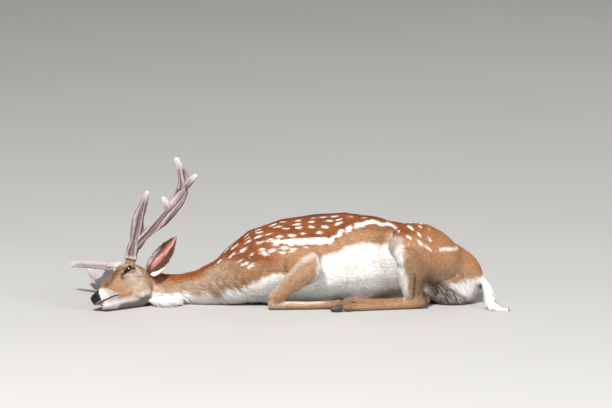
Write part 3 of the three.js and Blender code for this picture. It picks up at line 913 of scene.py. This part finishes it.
def face_marks(seen):
    """Bare or dark places of the face, each from 0 to 1."""
    f, l, u = seen.T
    hole, front = nostril_reach(seen)
    gap, open_mouth = mouth_reach(seen)
    below = u < np.interp(f, *np.array(MOUTH[::-1]).T)
    lids = np.zeros(len(f))
    for which in (1, -1):
        along, up, out = eye_places(seen, which).T
        rim = fall(lid_reach(along, up), np.where(up > 0, 1.4, 1.2), np.where(up > 0, 1.75, 1.45))
        lids = np.maximum(lids, rim * (out > 0) * (np.hypot(along, up) < 30))
    tear, run = tear_reach(seen)
    return {"pad": ramp(f - (166 - 0.9 * np.clip(u + 69, 0, 30)), -2, 2) * ramp(u, -101, -97),
            "hole": fall(hole, 0.8, 1.3) * front,
            "slit": hump((gap, 0, 2.5)) * open_mouth,
            "lip": hump((gap, 3.6, 2.2)) * open_mouth * below * ramp(f, 112, 126),
            "lids": lids,
            "tear": hump((tear, 0, 3.2)) * (np.abs(l) > 16) * (1 - 0.25 * run)}


def face_colour(body, colour, ragged, fine):
    """The markings of the head, jaw and ears, with painted shade under the jaw and along the mouth."""
    f, l, u = body.head.T
    side = np.abs(l)
    mottle = ripple(body.points, 0.016, 9).clip(-1, 1)

    def patch(x, z, long, high, least=20):
        """A soft oval on the sides of the head."""
        return hump((f, x, long), (u, z, high)) * ramp(side, least - 8, least)

    crown = ramp(body.normals @ UPWARD + 0.1 * ragged, 0.3, 0.7) * fall(f, 112, 140) * ramp(u, -64, -24)
    smudge = line_reach(f, u, *SMUDGE)[0]
    dark = hump((smudge, 0, 8)) * ramp(side, 6, 14) * (0.7 + 0.3 * np.sin(f * 0.35 + 3 * fine))
    rings = ((-54, -10, 5, 20), (-30, -34, 20, 4), (-66, -36, 5, 22), (34, -28, 12, 5))
    lower = -u - 0.08 * f + 3 * ragged
    slant = -(u + 0.6 * (140 - f))
    muzzle = ramp(f + 5 * ragged + 3 * fine - 0.25 * np.clip(-92 - u, 0, 40), 74, 94)
    muzzle = muzzle * ramp(slant + 3 * ragged, 44, 54)
    nose = hump((f, 150, 20)) * ramp(-u, 96, 102) * fall(side, 6, 14)
    tint = painted(
        TAN * 0.95,
        (0.42 + 0.35 * mottle, GREY * 0.95),
        (patch(-14, -62, 62, 44) * (0.8 - 0.25 * mottle), PALE * 0.95),
        (patch(68, -48, 32, 22) * 0.5, BROWN * 1.5),
        (patch(24, -40, 16, 10) * 0.25, BROWN),
        (crown * 0.85, BROWN),
        (hump((smudge, 0, 20)) * ramp(side, 4, 12) * 0.55, BROWN),
        (dark, UMBER * 1.4),
        (patch(6, -30, 30, 15, 30) * 0.55, CREAM * 0.8),
        (patch(-40, -4, 9, 24, 30) * 0.5, CREAM * 0.85),
        (patch(4, 22, 26, 5, 25) * 0.5, PALE),
        (patch(-16, 34, 18, 8, 25) * 0.6, BROWN),
        *((patch(*ring) * 0.6, BROWN * 0.7) for ring in rings),
        (ramp(lower, 90, 104) * fall(f, 84, 110) * 0.7, CREAM * 0.8),
        # painted shade: the underside of the jaw behind the chin is darkened to grey-brown as if in shadow
        (ramp(lower, 111, 119) * fall(f + 2 * fine, 80, 92) * 0.8, GREY * 0.42),
        (muzzle, np.outer(0.58 + 0.26 * ramp(f, 122, 154) + 0.1 * ramp(-u, 96, 104), CREAM)),
        (muzzle * fall(slant, 50, 76) * fall(f, 138, 156) * 0.5, PALE * 0.8),
        (ramp(-f, 66, 104) * ramp(u, -50, -10) * 0.6, BROWN * 1.2),
        (nose * 0.4, BROWN))
    for which in (1, -1):
        along, up, out = eye_places(body.head, which).T
        corner = fall(np.hypot((along - 1) / 42, (up - 0.05 * along + 1) / 9.5), 0.74, 1.0)
        tint = blend(tint, corner * (out > -8) * (l * which > 0) * 0.93, UMBER * 0.6)
    gap, open_mouth = mouth_reach(body.head)
    marks = face_marks(body.head)
    tint = painted(
        tint,
        (hump((tear_reach(body.head)[0], 0, 5.5)) * (side > 16) * 0.85, UMBER * 0.7),
        # painted shade: the fur along the gap between the lips is darkened into a dark mouth line
        (hump((gap, 0, 3.6)) * open_mouth * 0.75, UMBER),
        (marks["lip"] * 0.85, (0.5, 0.2, 0.19)),
        # the mouth's slit is painted black as shade; the lids, tear groove, nose pad and nostrils are their
        # own dark skin
        *((marks[mark], PITCH) for mark in ("slit", "lids", "tear", "pad", "hole")))
    colour = blend(colour, body.share("head", "jaw"), tint)
    for which in (1, -1):
        colour = ear_colour(body, colour, which, fine)
    return colour * (1 + 0.06 * fine[:, None])


def ear_places(body, side):
    """Along an ear from 0 to 1, across it towards its rear edge, and how far a place faces its opening."""
    name = "ear_left" if side > 0 else "ear_right"
    start, way = (part[FLESH.index(name)] for part in LIE)
    opening = (np.array(EAR_OPENING) * [1, side, 1]) @ HEAD_AXES
    opening = unit(opening - way * (opening @ way))
    across = np.cross(way, opening) * side
    offset = body.points - start
    return offset @ way / EAR_LENGTH, offset @ across / MM, body.normals @ opening


def ear_colour(body, colour, side, fine):
    """A brown back, a dark hollow with a pink ridge and pale hairs, a pale rim and a dark tip."""
    along, across, facing = ear_places(body, side)
    mine = body.share("ear") * (body.head[:, 1] * side > 0)
    half = EAR_HALF * np.sin(math.pi * np.clip(along, 0.04, 0.98) ** 0.85) ** 0.55
    out = across / np.maximum(half, 4) + 0.05 * fine
    ridge = hump((out + 0.16 * np.sin(along * 7), 0.12, 0.13))
    fold = ramp(np.sin(out * 9 + along * 5 + 1.2 * fine), 0.3, 1) * (1 - ridge)
    hairs = 0.35 + 0.6 * ramp(np.sin(out * 30 + along * 9 + 2 * fine), -0.5, 0.3)
    back = painted(BROWN * 1.35, (ramp(along, 0.6, 0.95) * 0.6, UMBER), (fall(along, 0.05, 0.3) * 0.6, PALE))
    hollow = painted(
        np.array([0.36, 0.12, 0.1]),
        (ridge * 0.85, (0.62, 0.31, 0.27)),
        (fold * 0.6, (0.16, 0.05, 0.045)),
        (ramp(-out, 0.0, 0.3) * ramp(along, 0.25, 0.42) * 0.92, UMBER * 1.3),
        (ramp(out, 0.3, 0.48) * 0.95, UMBER),
        (ramp(-out, 0.2, 0.45) * fall(along, 0.35, 0.6) * hairs, CREAM * 0.92),
        (fall(along, 0.04, 0.16) * 0.7, UMBER * 1.5))
    edge = 0.86 + 0.2 * fall(along, 0.3, 0.7)
    rim = ramp(out - edge, 0, 0.12) + 0.8 * ramp(-out, 0.84, 0.96) * fall(along, 0.7, 0.9)
    turn = fall(np.abs(facing + 0.05), 0.15, 0.35)
    rim = np.maximum(rim * ramp(facing, -0.35, 0.0), turn * 0.85)
    tint = painted(back, (ramp(facing, -0.15, 0.08), hollow), (rim.clip(0, 1), CREAM * 0.9),
                   (ramp(along + 0.02 * fine, 0.9, 0.97) * 0.9, UMBER * 1.2))
    return blend(colour, mine, tint)


# ---- the coat's tufts ----
def sown(body, mesh, chosen, density):
    """Seeded roots over the skin's triangles: what is known there, blended from the triangle's corners."""
    mesh.calc_loop_triangles()
    corners = read(mesh.loop_triangles, "vertices", 3, np.int32)
    corners = corners[chosen[corners[:, 0]]]
    a, b, c = (body.points[corners[:, k]] for k in range(3))
    area = np.linalg.norm(np.cross(b - a, c - a), axis=1) / 2
    wanted = area * density[corners].mean(axis=1) * CM2
    count = np.floor(wanted + RANDOM.uniform(size=len(wanted))).astype(int)
    corners = np.repeat(corners, count, axis=0)
    first, second = RANDOM.uniform(size=(2, len(corners)))
    over = first + second > 1
    first[over], second[over] = 1 - first[over], 1 - second[over]
    share = np.stack([1 - first - second, first, second], axis=1)

    def mixed(values):
        return (values[corners] * share.reshape(len(share), 3, *[1] * (values.ndim - 1))).sum(axis=1)

    grown = Body(mixed(body.points), unit(mixed(body.normals)), mixed(body.kinds), unit(mixed(body.flow)),
                 body.owner[corners[:, 0]])
    grown.shag = mixed(body.shag)
    return grown


def unwrapped(body, cells):
    """Roots laid out by the turn round each solid's own run of hair and the distance along it."""
    start, way = LIE[0][body.owner], LIE[1][body.owner]
    offset = body.points - start
    run = (offset * way).sum(axis=1)
    side = unit(np.cross(way, [0.31, 0.22, 0.92]))
    top = np.cross(way, side)
    low, high = np.zeros(len(FLESH)), np.ones(len(FLESH))
    for k in np.unique(body.owner):
        low[k], high[k] = run[body.owner == k].min(), run[body.owner == k].max()
    turn = np.arctan2((offset * side).sum(axis=1), (offset * top).sum(axis=1)) / math.tau + 0.5
    run = (run - low[body.owner]) / np.maximum(high - low, 1e-6)[body.owner]
    across = math.ceil(math.sqrt(len(cells)))
    cell = np.array([cells.index(name) if name in cells else 0 for name in FLESH])[body.owner]
    corner = np.stack([cell % across, cell // across], axis=1)
    return (corner + 0.02 + 0.96 * np.stack([turn, run], axis=1)) / across


def tuft_mesh(name, body, tint, place, rings):
    """Closed three-sided tufts: a root, rings that narrow, and a tip."""
    count = len(body.points)
    length, width, rise = body.length, body.width, body.rise
    way = unit(body.flow + RANDOM.normal(0, TUFT_STRAY, (count, 3)))
    way = unit(way - body.normals * (way * body.normals).sum(axis=1)[:, None])
    side = np.cross(body.normals, way)
    curl = RANDOM.normal(0, TUFT_CURL, count)
    points, patch, shade, facing = [], [], [], []
    for stop, wide in TUFT_STOPS[rings]:
        centre = (body.points + way * (length * stop)[:, None]
                  + body.normals * (length * (rise * stop * (1.7 - 0.7 * stop) - ROOT_SINK))[:, None]
                  + side * (curl * length * stop ** 2)[:, None])
        centre[:, 2] -= body.shag * length * SHAG_DROOP * stop ** 2
        half = (width * wide / 2)[:, None]
        around = [(centre, 0.5)] if not wide else [
            (centre - side * half, 0.0), (centre + side * half, 1.0),
            (centre + body.normals * half * TUFT_RIDGE, 0.5)]
        for point, across in around:
            points.append(point)
            patch.append((across, stop))
            shade.append(TUFT_DARK + TUFT_LIGHT * stop)
            facing.append(body.normals + side * ((across - 0.5) * TUFT_ROUND) + way * 0.1)
    points = np.stack(points, axis=1)
    points[:, :, 2] = np.maximum(points[:, :, 2], REST_GAP)
    tip = 1 + 3 * rings
    faces = [(0, 2, 1), (0, 3, 2), (0, 1, 3)]
    for ring in range(1, rings):
        low, high = 3 * ring - 2, 3 * ring + 1
        for k, m in ((0, 1), (1, 2), (2, 0)):
            faces += [(low + k, low + m, high + m), (low + k, high + m, high + k)]
    last = tip - 3
    faces += [(last, last + 1, tip), (last + 1, last + 2, tip), (last + 2, last, tip)]
    faces = np.array(faces)
    mesh = bpy.data.meshes.new(name)
    size = tip + 1
    corners = (faces[None] + size * np.arange(count)[:, None, None]).reshape(-1)
    mesh.vertices.add(count * size)
    mesh.vertices.foreach_set("co", points.astype(np.float32).ravel())
    mesh.loops.add(len(corners))
    mesh.loops.foreach_set("vertex_index", corners.astype(np.int32))
    mesh.polygons.add(len(corners) // 3)
    mesh.polygons.foreach_set("loop_start", np.arange(0, len(corners), 3, dtype=np.int32))
    mesh.update(calc_edges=True)
    patch = (place[:, None] + (np.array(patch)[None] - 0.5) * PATCH).reshape(-1, 2)
    bake = mesh.uv_layers.new(name="OFBake")
    bake.data.foreach_set("uv", patch[corners].astype(np.float32).ravel())
    lit = tint * (1 + RANDOM.normal(0, TUFT_TONES, (count, 1)))
    lit = (lit[:, None] * np.array(shade)[None, :, None]).reshape(-1, 3).clip(0, 1)
    paint_points(mesh, lit)
    return mesh, unit(np.stack(facing, axis=1)).reshape(-1, 3)


def paint_points(mesh, colour, wet=0.0):
    """Stores a colour at each point, with how wet it is in the fourth channel."""
    layer = mesh.color_attributes.new("markings", "FLOAT_COLOR", "POINT")
    wet = np.broadcast_to(wet, len(colour))
    layer.data.foreach_set("color", np.c_[colour, wet].astype(np.float32).ravel())


def joined(name, meshes):
    whole = bmesh.new()
    for mesh in meshes:
        whole.from_mesh(mesh)
        bpy.data.meshes.remove(mesh)
    return as_mesh(name, whole)


def shag_of(body):
    """Where the hair hangs long: under the rump, on the tail, throat and brisket, behind the elbow."""
    x, z = body.along, body.height
    under = body.share("rump") * ramp(x, 0.5, 0.56) * fall(z, 0.085, 0.125)
    throat = body.share("neck", "chest") * fall(z, 0.05, 0.1) * ramp(-x, -0.03, 0.05)
    elbow = body.share("forearm", "shoulder") * ramp(body.normals[:, 0], 0.4, 0.8) * ramp(z, 0.06, 0.1)
    thigh = body.share("thigh", "shank") * ramp(-body.normals[:, 0], 0.5, 0.9) * 0.5
    belly = body.share("belly") * fall(z, 0.05, 0.12) * 0.6
    return np.max([under, throat * 0.8, elbow * 0.6, thigh, belly, body.share("tail")], axis=0)


def made_coat(name, nodes):
    chosen = np.isin(HAIRY.owner, [FLESH.index(node) for node in nodes])
    meshes = []
    for rings in (1, 2):
        density = figure(HAIRY.kinds, COUNT)
        density = density * (1 - 0.8 * HAIRY.shag if rings == 1 else LONG_SHARE * HAIRY.shag)
        density = density * open_skin(HAIRY) * DENSITY * (1 - ear_rim(HAIRY))
        body = sown(HAIRY, SKIN, chosen, density)
        if not len(body.points):
            continue
        body.length = body.uneven(LENGTH, 0.7, 1.3)
        body.width = body.uneven(WIDTH, 0.75, 1.25)
        body.rise = body.uneven(RISE, 0.6, 1.3)
        body.length *= 1 - 0.65 * body.share("tail") * ramp(body.along, 0.76, 0.84)
        if rings == 2:
            body.length *= 1 + 0.9 * body.shag
        meshes.append(tuft_mesh(name, body, coat_colour(body), unwrapped(body, nodes), rings))
    piece = piece_of(name, joined(name, [mesh for mesh, facing in meshes]), COAT, [])
    piece.data.normals_split_custom_set_from_vertices(np.concatenate([facing for mesh, facing in meshes]))
    return piece


def ear_rim(body):
    """1 on the thin edges of the ears."""
    turned = [ear_places(body, side)[2] * (body.head[:, 1] * side > 0) for side in (1, -1)]
    return body.share("ear") * fall(np.abs(sum(turned)), 0.3, 0.5)


def open_skin(body):
    """0 where no tuft stands: the nose, lids, mouth and tear, and the skin that lies on the floor."""
    marks = face_marks(body.head)
    bare = np.max(list(marks.values()), axis=0) * ramp(body.share("head", "jaw"), 0.2, 0.5)
    floor_side = (body.height < 0.006) & (body.normals[:, 2] < -0.7)
    return fall(bare, 0.15, 0.5) * ~floor_side


def wetness(body):
    """1 on the nose pad, lids and lips."""
    marks = face_marks(body.head)
    moist = np.max([marks[name] for name in ("pad", "lids", "lip", "slit")], axis=0)
    return moist * body.share("head", "jaw")


# ---- antlers, hooves and eyes ----
def antler_places(points, parts):
    """How far round and along its own stem each place of an antler lies."""
    tree, owner = surface_of(parts)
    which = owner[[tree.find_nearest(Vector(p))[2] for p in points]]
    turn = np.zeros(len(points))
    run = np.zeros(len(points))
    for k, name in enumerate(parts):
        stem = points_of(NODES[name].data)
        centre = stem.mean(axis=0)
        way = np.linalg.svd(stem - centre, full_matrices=False)[2][0]
        way = way * (1 if way[2] > 0 else -1)
        side = unit(np.cross(way, np.array([0.2, 1.0, 0.1])))
        mine = which == k
        offset = points[mine] - centre
        run[mine] = offset @ way
        turn[mine] = np.arctan2(offset @ side, offset @ np.cross(way, side))
    return turn, run


def made_antler(side):
    """One antler in velvet: lengthwise folds, small pearls, a ring of knobs at its root and pale tips; the
    folds are coloured with painted highlight on the ridges and painted shade in the grooves.
    """
    parts = sorted(name for name in NODES if name.startswith("antler_" + side))
    horn = largest_shell(fused(parts, HORN_VOXEL, smooth=3))
    points = points_of(horn)
    edges = edges_of(horn)
    turn, run = antler_places(points, parts)
    wander = 0.8 * ripple(points, 0.12, 21)
    folds = sum(np.sin(n * turn + wander * n * 0.3 + run * twist + n) * share
                for n, twist, share in ((4, 6, 0.8), (8, -16, 0.8), (13, 28, 0.6)))
    folds = spread(folds, edges, 1)
    pearls = ripple(points, 0.022, 22)
    root = meeting(f"antler_{side}_base", "head")
    stem = unit(middle(f"antler_{side}_base") - root)
    up_stem = (points - root) @ stem
    burr = np.exp(-((up_stem - 0.012) / 0.006) ** 2) * (np.linalg.norm(points - root, axis=1) < 0.05)
    knobs = 0.6 + 0.4 * np.sin(turn * 13 + 2 * pearls)
    rise = VELVET_RELIEF * folds + PEARL_RELIEF * pearls.clip(-0.4, 1) + BURR_RELIEF * burr * knobs
    points = points + normals_of(horn) * rise[:, None]
    points[:, 2] = np.maximum(points[:, 2], REST_GAP)
    set_points(horn, points)
    tips = spread(tip_share(points, parts), edges, 6)
    plain, pale, dark, palest = VELVET_TONES
    # painted light: ridges and pearls lighter as painted highlight, grooves darker as painted shade
    colour = painted(plain, (ramp(folds, -0.1, 1.3), pale), (ramp(-folds, 0.2, 1.4) * 0.8, dark),
                     (ramp(pearls, 0.5, 1.2) * 0.4, pale), (tips * 0.75, palest), (burr * 0.6, palest))
    # painted light: the right antler is made paler than the left, as if it lay in full sun
    if side == "right":
        colour = blend(colour, np.full(len(points), 0.42), palest * 1.3)  # paler than the left
    paint_points(horn, colour)
    piece_of("antler_velvet_" + side, horn, VELVET, parts)


def tip_share(points, parts):
    """1 at the tips of the tines, where the velvet is palest."""
    share = np.zeros(len(points))
    root = meeting(next(name for name in parts if name.endswith("base")), "head")
    for name in parts:
        if name.endswith(("base", "beam")):
            continue
        tip = far_end(name, root)
        share = np.maximum(share, fall(np.linalg.norm(points - tip, axis=1), 0.01, 0.06))
    return share


VELVET = Finish("velvet", Roughness=0.85, Specular_IOR_Level=0.2, Sheen_Weight=0.12, Sheen_Roughness=0.4)
NAP = VELVET.noise(VELVET.place(), 900, 3, 0.6)
BLOOM = VELVET.noise(VELVET.place(), 60, 4, 0.6)
SHADES = VELVET.mix(NAP * 0.5 + BLOOM * 0.5, (0.62, 0.55, 0.52, 1), (1.35, 1.32, 1.3, 1))
VELVET.colour(VELVET.mix(0.55, VELVET.attribute("markings"), SHADES, "MULTIPLY"))
VELVET.bump(NAP * 0.5 + BLOOM, 0.45, 0.0012)

# ---- skin and coat ----
HIDE = Finish("hide", Specular_IOR_Level=0.22)
WET = HIDE.attribute("markings", "Alpha")
GRAIN = HIDE.noise(HIDE.place(), 220)
SHADES = HIDE.mix(GRAIN, (0.75, 0.72, 0.7, 1), (1.2, 1.2, 1.2, 1))
HIDE.colour(HIDE.mix(0.5, HIDE.attribute("markings"), SHADES, "MULTIPLY"))
HIDE.roughness(0.85 - 0.42 * WET)
FUR = HIDE.noise(HIDE.place(scaled=(0.004, 0.0012, 0.0016)), 1.0, 4, 0.6)
PEBBLE = HIDE.node("ShaderNodeTexVoronoi", None, {"Vector": HIDE.place(), "Scale": 420})
HIDE.bump(FUR * (1 - WET) + PEBBLE * (0.35 * WET), 0.3, 0.0016)
COAT = Finish("coat", Roughness=0.75, Specular_IOR_Level=0.25)
COAT.colour(COAT.attribute("markings"))

SKIN = made_skin()
SKIN_POINTS = points_of(SKIN)
SKIN_OWNER = owners(SKIN_POINTS)
TRUNK = np.isin(SKIN_OWNER, [FLESH.index(name) for name in ("neck", "chest", "belly", "rump")])
SPINE = spine_line(SKIN_POINTS[TRUNK])
LIE = lie_of_nodes()
FLANK_SPOTS, HAUNCH_SPOTS = made_spots()
HAIRY = read_body(SKIN)
HAIRY.shag = shag_of(HAIRY)
paint_points(SKIN, coat_colour(HAIRY), wetness(HAIRY))
piece_of("skin", SKIN, HIDE, FLESH)

for name, nodes in (("face", ["head"]), ("jaw", ["jaw"]), ("ears", ["ear_left", "ear_right"])):
    made_coat("coat_" + name, nodes)
for name in ("neck", "chest", "belly", "rump"):
    made_coat("coat_" + name, [name])
for side in ("left", "right"):
    for end, upper in (("fore", ("shoulder", "forearm")), ("hind", ("thigh", "shank"))):
        made_coat(f"coat_{end}leg_{side}",
                  [f"{part}_{side}" for part in (*upper, "cannon_" + end, "foot_" + end)])
made_coat("coat_tail", ["tail"])

for side in ("left", "right"):
    made_antler(side)

HORN = Finish("hoof_horn", Specular_IOR_Level=0.45)
GROWTH = HORN.node("ShaderNodeTexWave", {"wave_type": "BANDS", "bands_direction": "Z"},
                   {"Vector": HORN.place(), "Scale": 140, "Distortion": 1.5, "Detail": 2, "Detail Scale": 2})
WEAR = HORN.noise(HORN.place(), 130, 4, 0.65)
HORN.colour(HORN.mix(HORN.steps(WEAR + 0.25 * GROWTH, 0.45, 0.95),
                     (0.014, 0.012, 0.011, 1), (0.085, 0.07, 0.058, 1)))
HORN.roughness(HORN.steps(WEAR, 0.3, 0.7, 0.32, 0.62))
HORN.bump(GROWTH * 0.6 + WEAR, 0.25, 0.0005)
for foot in ("fore_left", "fore_right", "hind_left", "hind_right"):
    parts = [name for name in NODES if foot in name and name.split("_")[0] in ("hoof", "dewclaw")]
    piece_of("horn_" + foot, fused(parts, HOOF_VOXEL, 0.0002, smooth=3), HORN, parts)


def made_eye(side, sign):
    """An eyeball with a clear bulge in front, a brown iris and a level oval pupil."""
    mesh = eye_ball("eyeball", sign, 5, EYE_RADIUS)
    points = points_of(mesh)
    along, up, out = eye_places(on_head(points), sign).T
    reach = np.hypot(along, up)
    front = out > 0
    bulge = CORNEA * fall(reach, 4, 12) * front
    set_points(mesh, points + unit(points - from_head([0, sign * EYE_SIDE / MM, 0])) * bulge[:, None])
    turn = np.arctan2(up, along)
    rays = 0.5 + 0.3 * np.sin(turn * 37) + 0.2 * np.sin(turn * 71 + 1)
    pupil = np.hypot(along / 8.2, up / 3.6)
    paint_points(mesh, painted(np.array([0.012, 0.008, 0.007]),
                               (fall(reach, 11.0, 13.0), (0.017, 0.007, 0.004)),
                               (rays * fall(reach, 8.5, 11.5), (0.024, 0.01, 0.005)),
                               (fall(pupil, 0.85, 1.1) * front, (0.003, 0.003, 0.004))))
    piece_of("eyeball_" + side, mesh, GLOSS, ["eye_" + side])


GLOSS = Finish("eye_gloss", Roughness=0.09, Specular_IOR_Level=0.4, Coat_Weight=0.5, Coat_Roughness=0.04)
GLOSS.colour(GLOSS.attribute("markings"))
VEIN = GLOSS.noise(GLOSS.place(), 90, 2)
GLOSS.bump(VEIN, 0.03, 0.0004)
for side, sign in (("left", 1), ("right", -1)):
    made_eye(side, sign)


# ---- floor, light and camera ----
FLOOR_SIZE = 60
AIM = Vector((0.0662, 0, 0.380))  # what the camera and the lamps point at
LIFT = math.radians(10)  # the camera's height above level
DISTANCE = 40
SENSOR = 36
VIEW_WIDTH = 2.4  # of the view at the deer, in metres
FLOOR = Finish("floor", Roughness=0.9, Specular_IOR_Level=0.2)
SOFT = FLOOR.noise(FLOOR.place(), 0.8, 3)
FLOOR.colour(FLOOR.mix(SOFT, (0.4, 0.395, 0.385, 1), (0.44, 0.435, 0.425, 1)))
FLOOR.bump(FLOOR.noise(FLOOR.place(), 240, 2), 0.05, 0.0005)
GRID = bmesh.new()
bmesh.ops.create_grid(GRID, x_segments=1, y_segments=1, size=FLOOR_SIZE)
floor = new_object("floor", as_mesh("floor", GRID))
floor.data.materials.append(FLOOR.material)

camera = bpy.data.cameras.new("camera")
camera.sensor_width = SENSOR
camera.lens = SENSOR * DISTANCE / VIEW_WIDTH
camera.clip_end = DISTANCE * 5
lens = new_object("camera", camera)
lens.location = AIM + DISTANCE * Vector((0, -math.cos(LIFT), math.sin(LIFT)))
lens.rotation_euler = (math.pi / 2 - LIFT, 0, 0)
SCENE.camera = lens


def lamp(name, place, size, power, tint):
    light = bpy.data.lights.new(name, "AREA")
    light.shape = "DISK"
    light.size = size
    light.energy = power
    light.color = tint
    holder = new_object(name, light)
    holder.location = place
    holder.rotation_euler = (AIM - Vector(place)).to_track_quat("-Z", "Y").to_euler()


lamp("key", (-2.4, -7.2, 9.0), 1.8, 2300, (1, 0.98, 0.95))
lamp("fill", (7.0, -6.0, 3.0), 4, 420, (0.97, 0.98, 1))
lamp("rim", (2.5, 6.5, 6.0), 4.0, 120, (1, 0.98, 0.95))
world = bpy.data.worlds.new("studio")
world.use_nodes = True
sky = world.node_tree.nodes["Background"].inputs
sky["Color"].default_value = (0.9, 0.92, 0.95, 1)
sky["Strength"].default_value = 0.27
SCENE.world = world
SCENE.view_settings.view_transform = "Standard"
